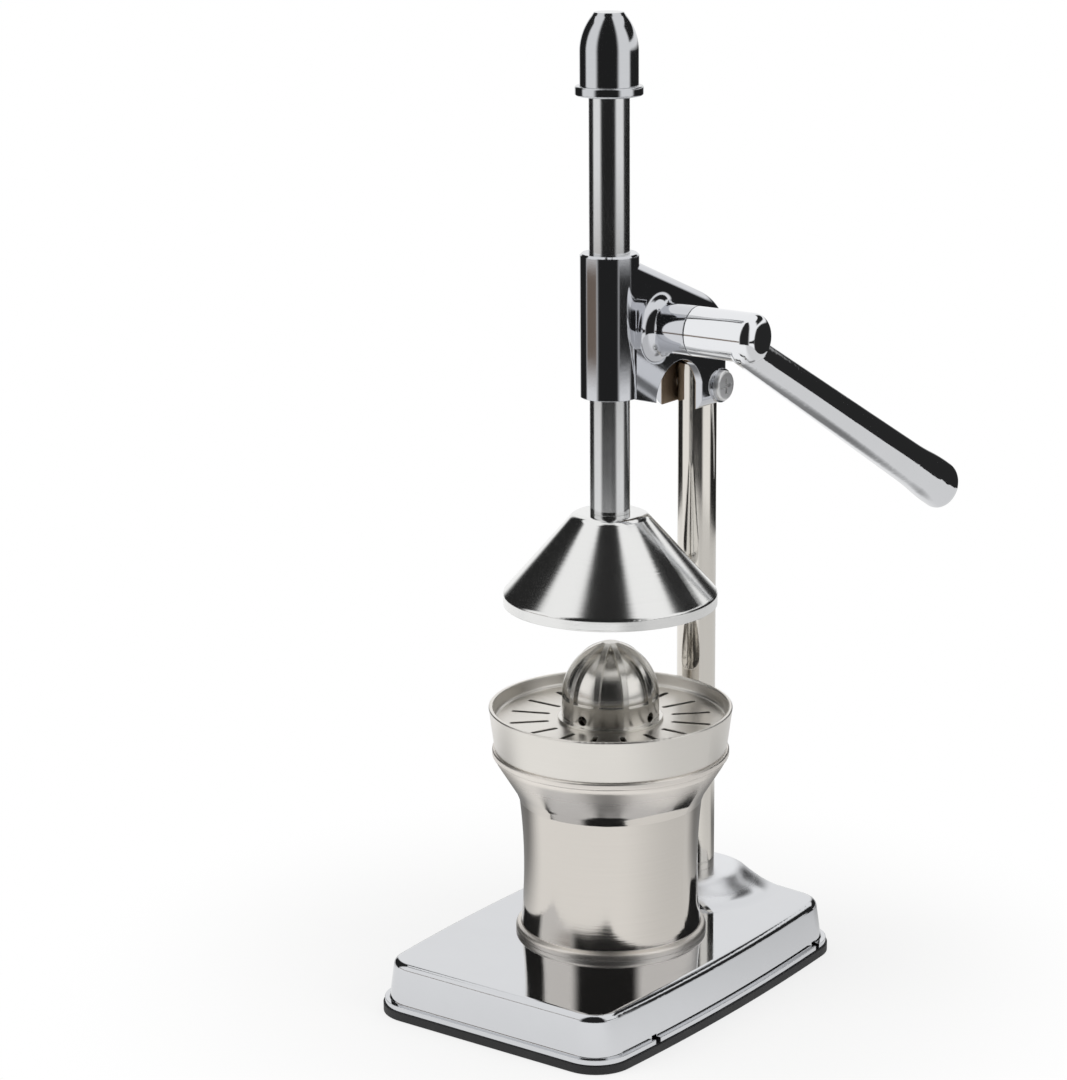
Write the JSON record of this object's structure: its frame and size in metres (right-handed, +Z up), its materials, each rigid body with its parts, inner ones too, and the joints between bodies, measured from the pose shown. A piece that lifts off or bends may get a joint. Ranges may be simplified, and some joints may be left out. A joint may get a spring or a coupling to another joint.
{
  "type": "manual lever juice press",
  "caption": "Chromed hand juice press: a side lever turns a pinion that drives a racked rod and its cone down onto a ribbed reamer over a strainer and a juice cup.",
  "frame": {"origin": "on the ground under the axis of the press rod, on the underside of the rubber mat", "axes": "+Z up along the press rod, +X to the side that the lever is on, +Y towards the column"},
  "size_m": [0.1224, 0.2661, 0.393],
  "materials": {
    "base_chrome": "polished",
    "rubber": "matte",
    "column_chrome": "polished, slightly warm",
    "head_chrome": "polished",
    "lever_chrome": "polished",
    "rod_chrome": "polished",
    "knob_chrome": "polished, dark reflections",
    "cone_steel": "polished, fine turned lines",
    "cup_steel": "polished",
    "strainer_steel": "satin",
    "reamer_steel": "satin",
    "fastener_steel": "plated",
    "gear_steel": "machined",
    "bush_brass": "machined"
  },
  "bodies": {
    "stand": {"base_shell": "base_chrome", "base_mat": "rubber", "column_plate": "fastener_steel", "column_lock_washer": "fastener_steel", "column_bolt": "fastener_steel", "column_plug": "fastener_steel", "column_tube": "column_chrome", "head_casting": "head_chrome", "clamp_screw": "fastener_steel", "clamp_nut": "fastener_steel", "shaft_bush_left": "bush_brass", "shaft_bush_right": "bush_brass"},
    "lever": {"pinion_shaft": "gear_steel", "pinion_gear": "gear_steel", "drive_pin": "fastener_steel", "lever_handle": "lever_chrome", "lever_set_screw": "fastener_steel", "end_washer": "fastener_steel", "end_screw": "fastener_steel"},
    "press": {"press_rod": "rod_chrome", "knob_stud": "fastener_steel", "top_knob": "knob_chrome", "press_cone": "cone_steel", "cone_washer": "fastener_steel", "cone_bolt": "fastener_steel"},
    "cup": {"juice_cup": "cup_steel"},
    "strainer": {"strainer_bowl": "strainer_steel", "reamer_cone": "reamer_steel"}
  },
  "joints": [
    {"name": "lever_turn", "type": "hinge", "parent": "stand", "child": "lever", "pos_m": [0, 0.018, 0.2698], "axis": [1, 0, 0], "range_deg": [-50, 190]},
    {"name": "press_slide", "type": "slide", "parent": "stand", "child": "press", "axis": [0, 0, 1], "range_m": [-0.04, 0.0106]},
    {"name": "cup_slide", "type": "slide", "parent": "stand", "child": "cup", "axis": [0, -1, 0], "range_m": [0, 0.1]},
    {"name": "strainer_lift", "type": "slide", "parent": "cup", "child": "strainer", "axis": [0, 0, 1], "range_m": [0, 0.006]}
  ],
  "couplings": [
    {"joint": "press_slide", "follows": "lever_turn", "m_per_rad": -0.012}
  ]
}
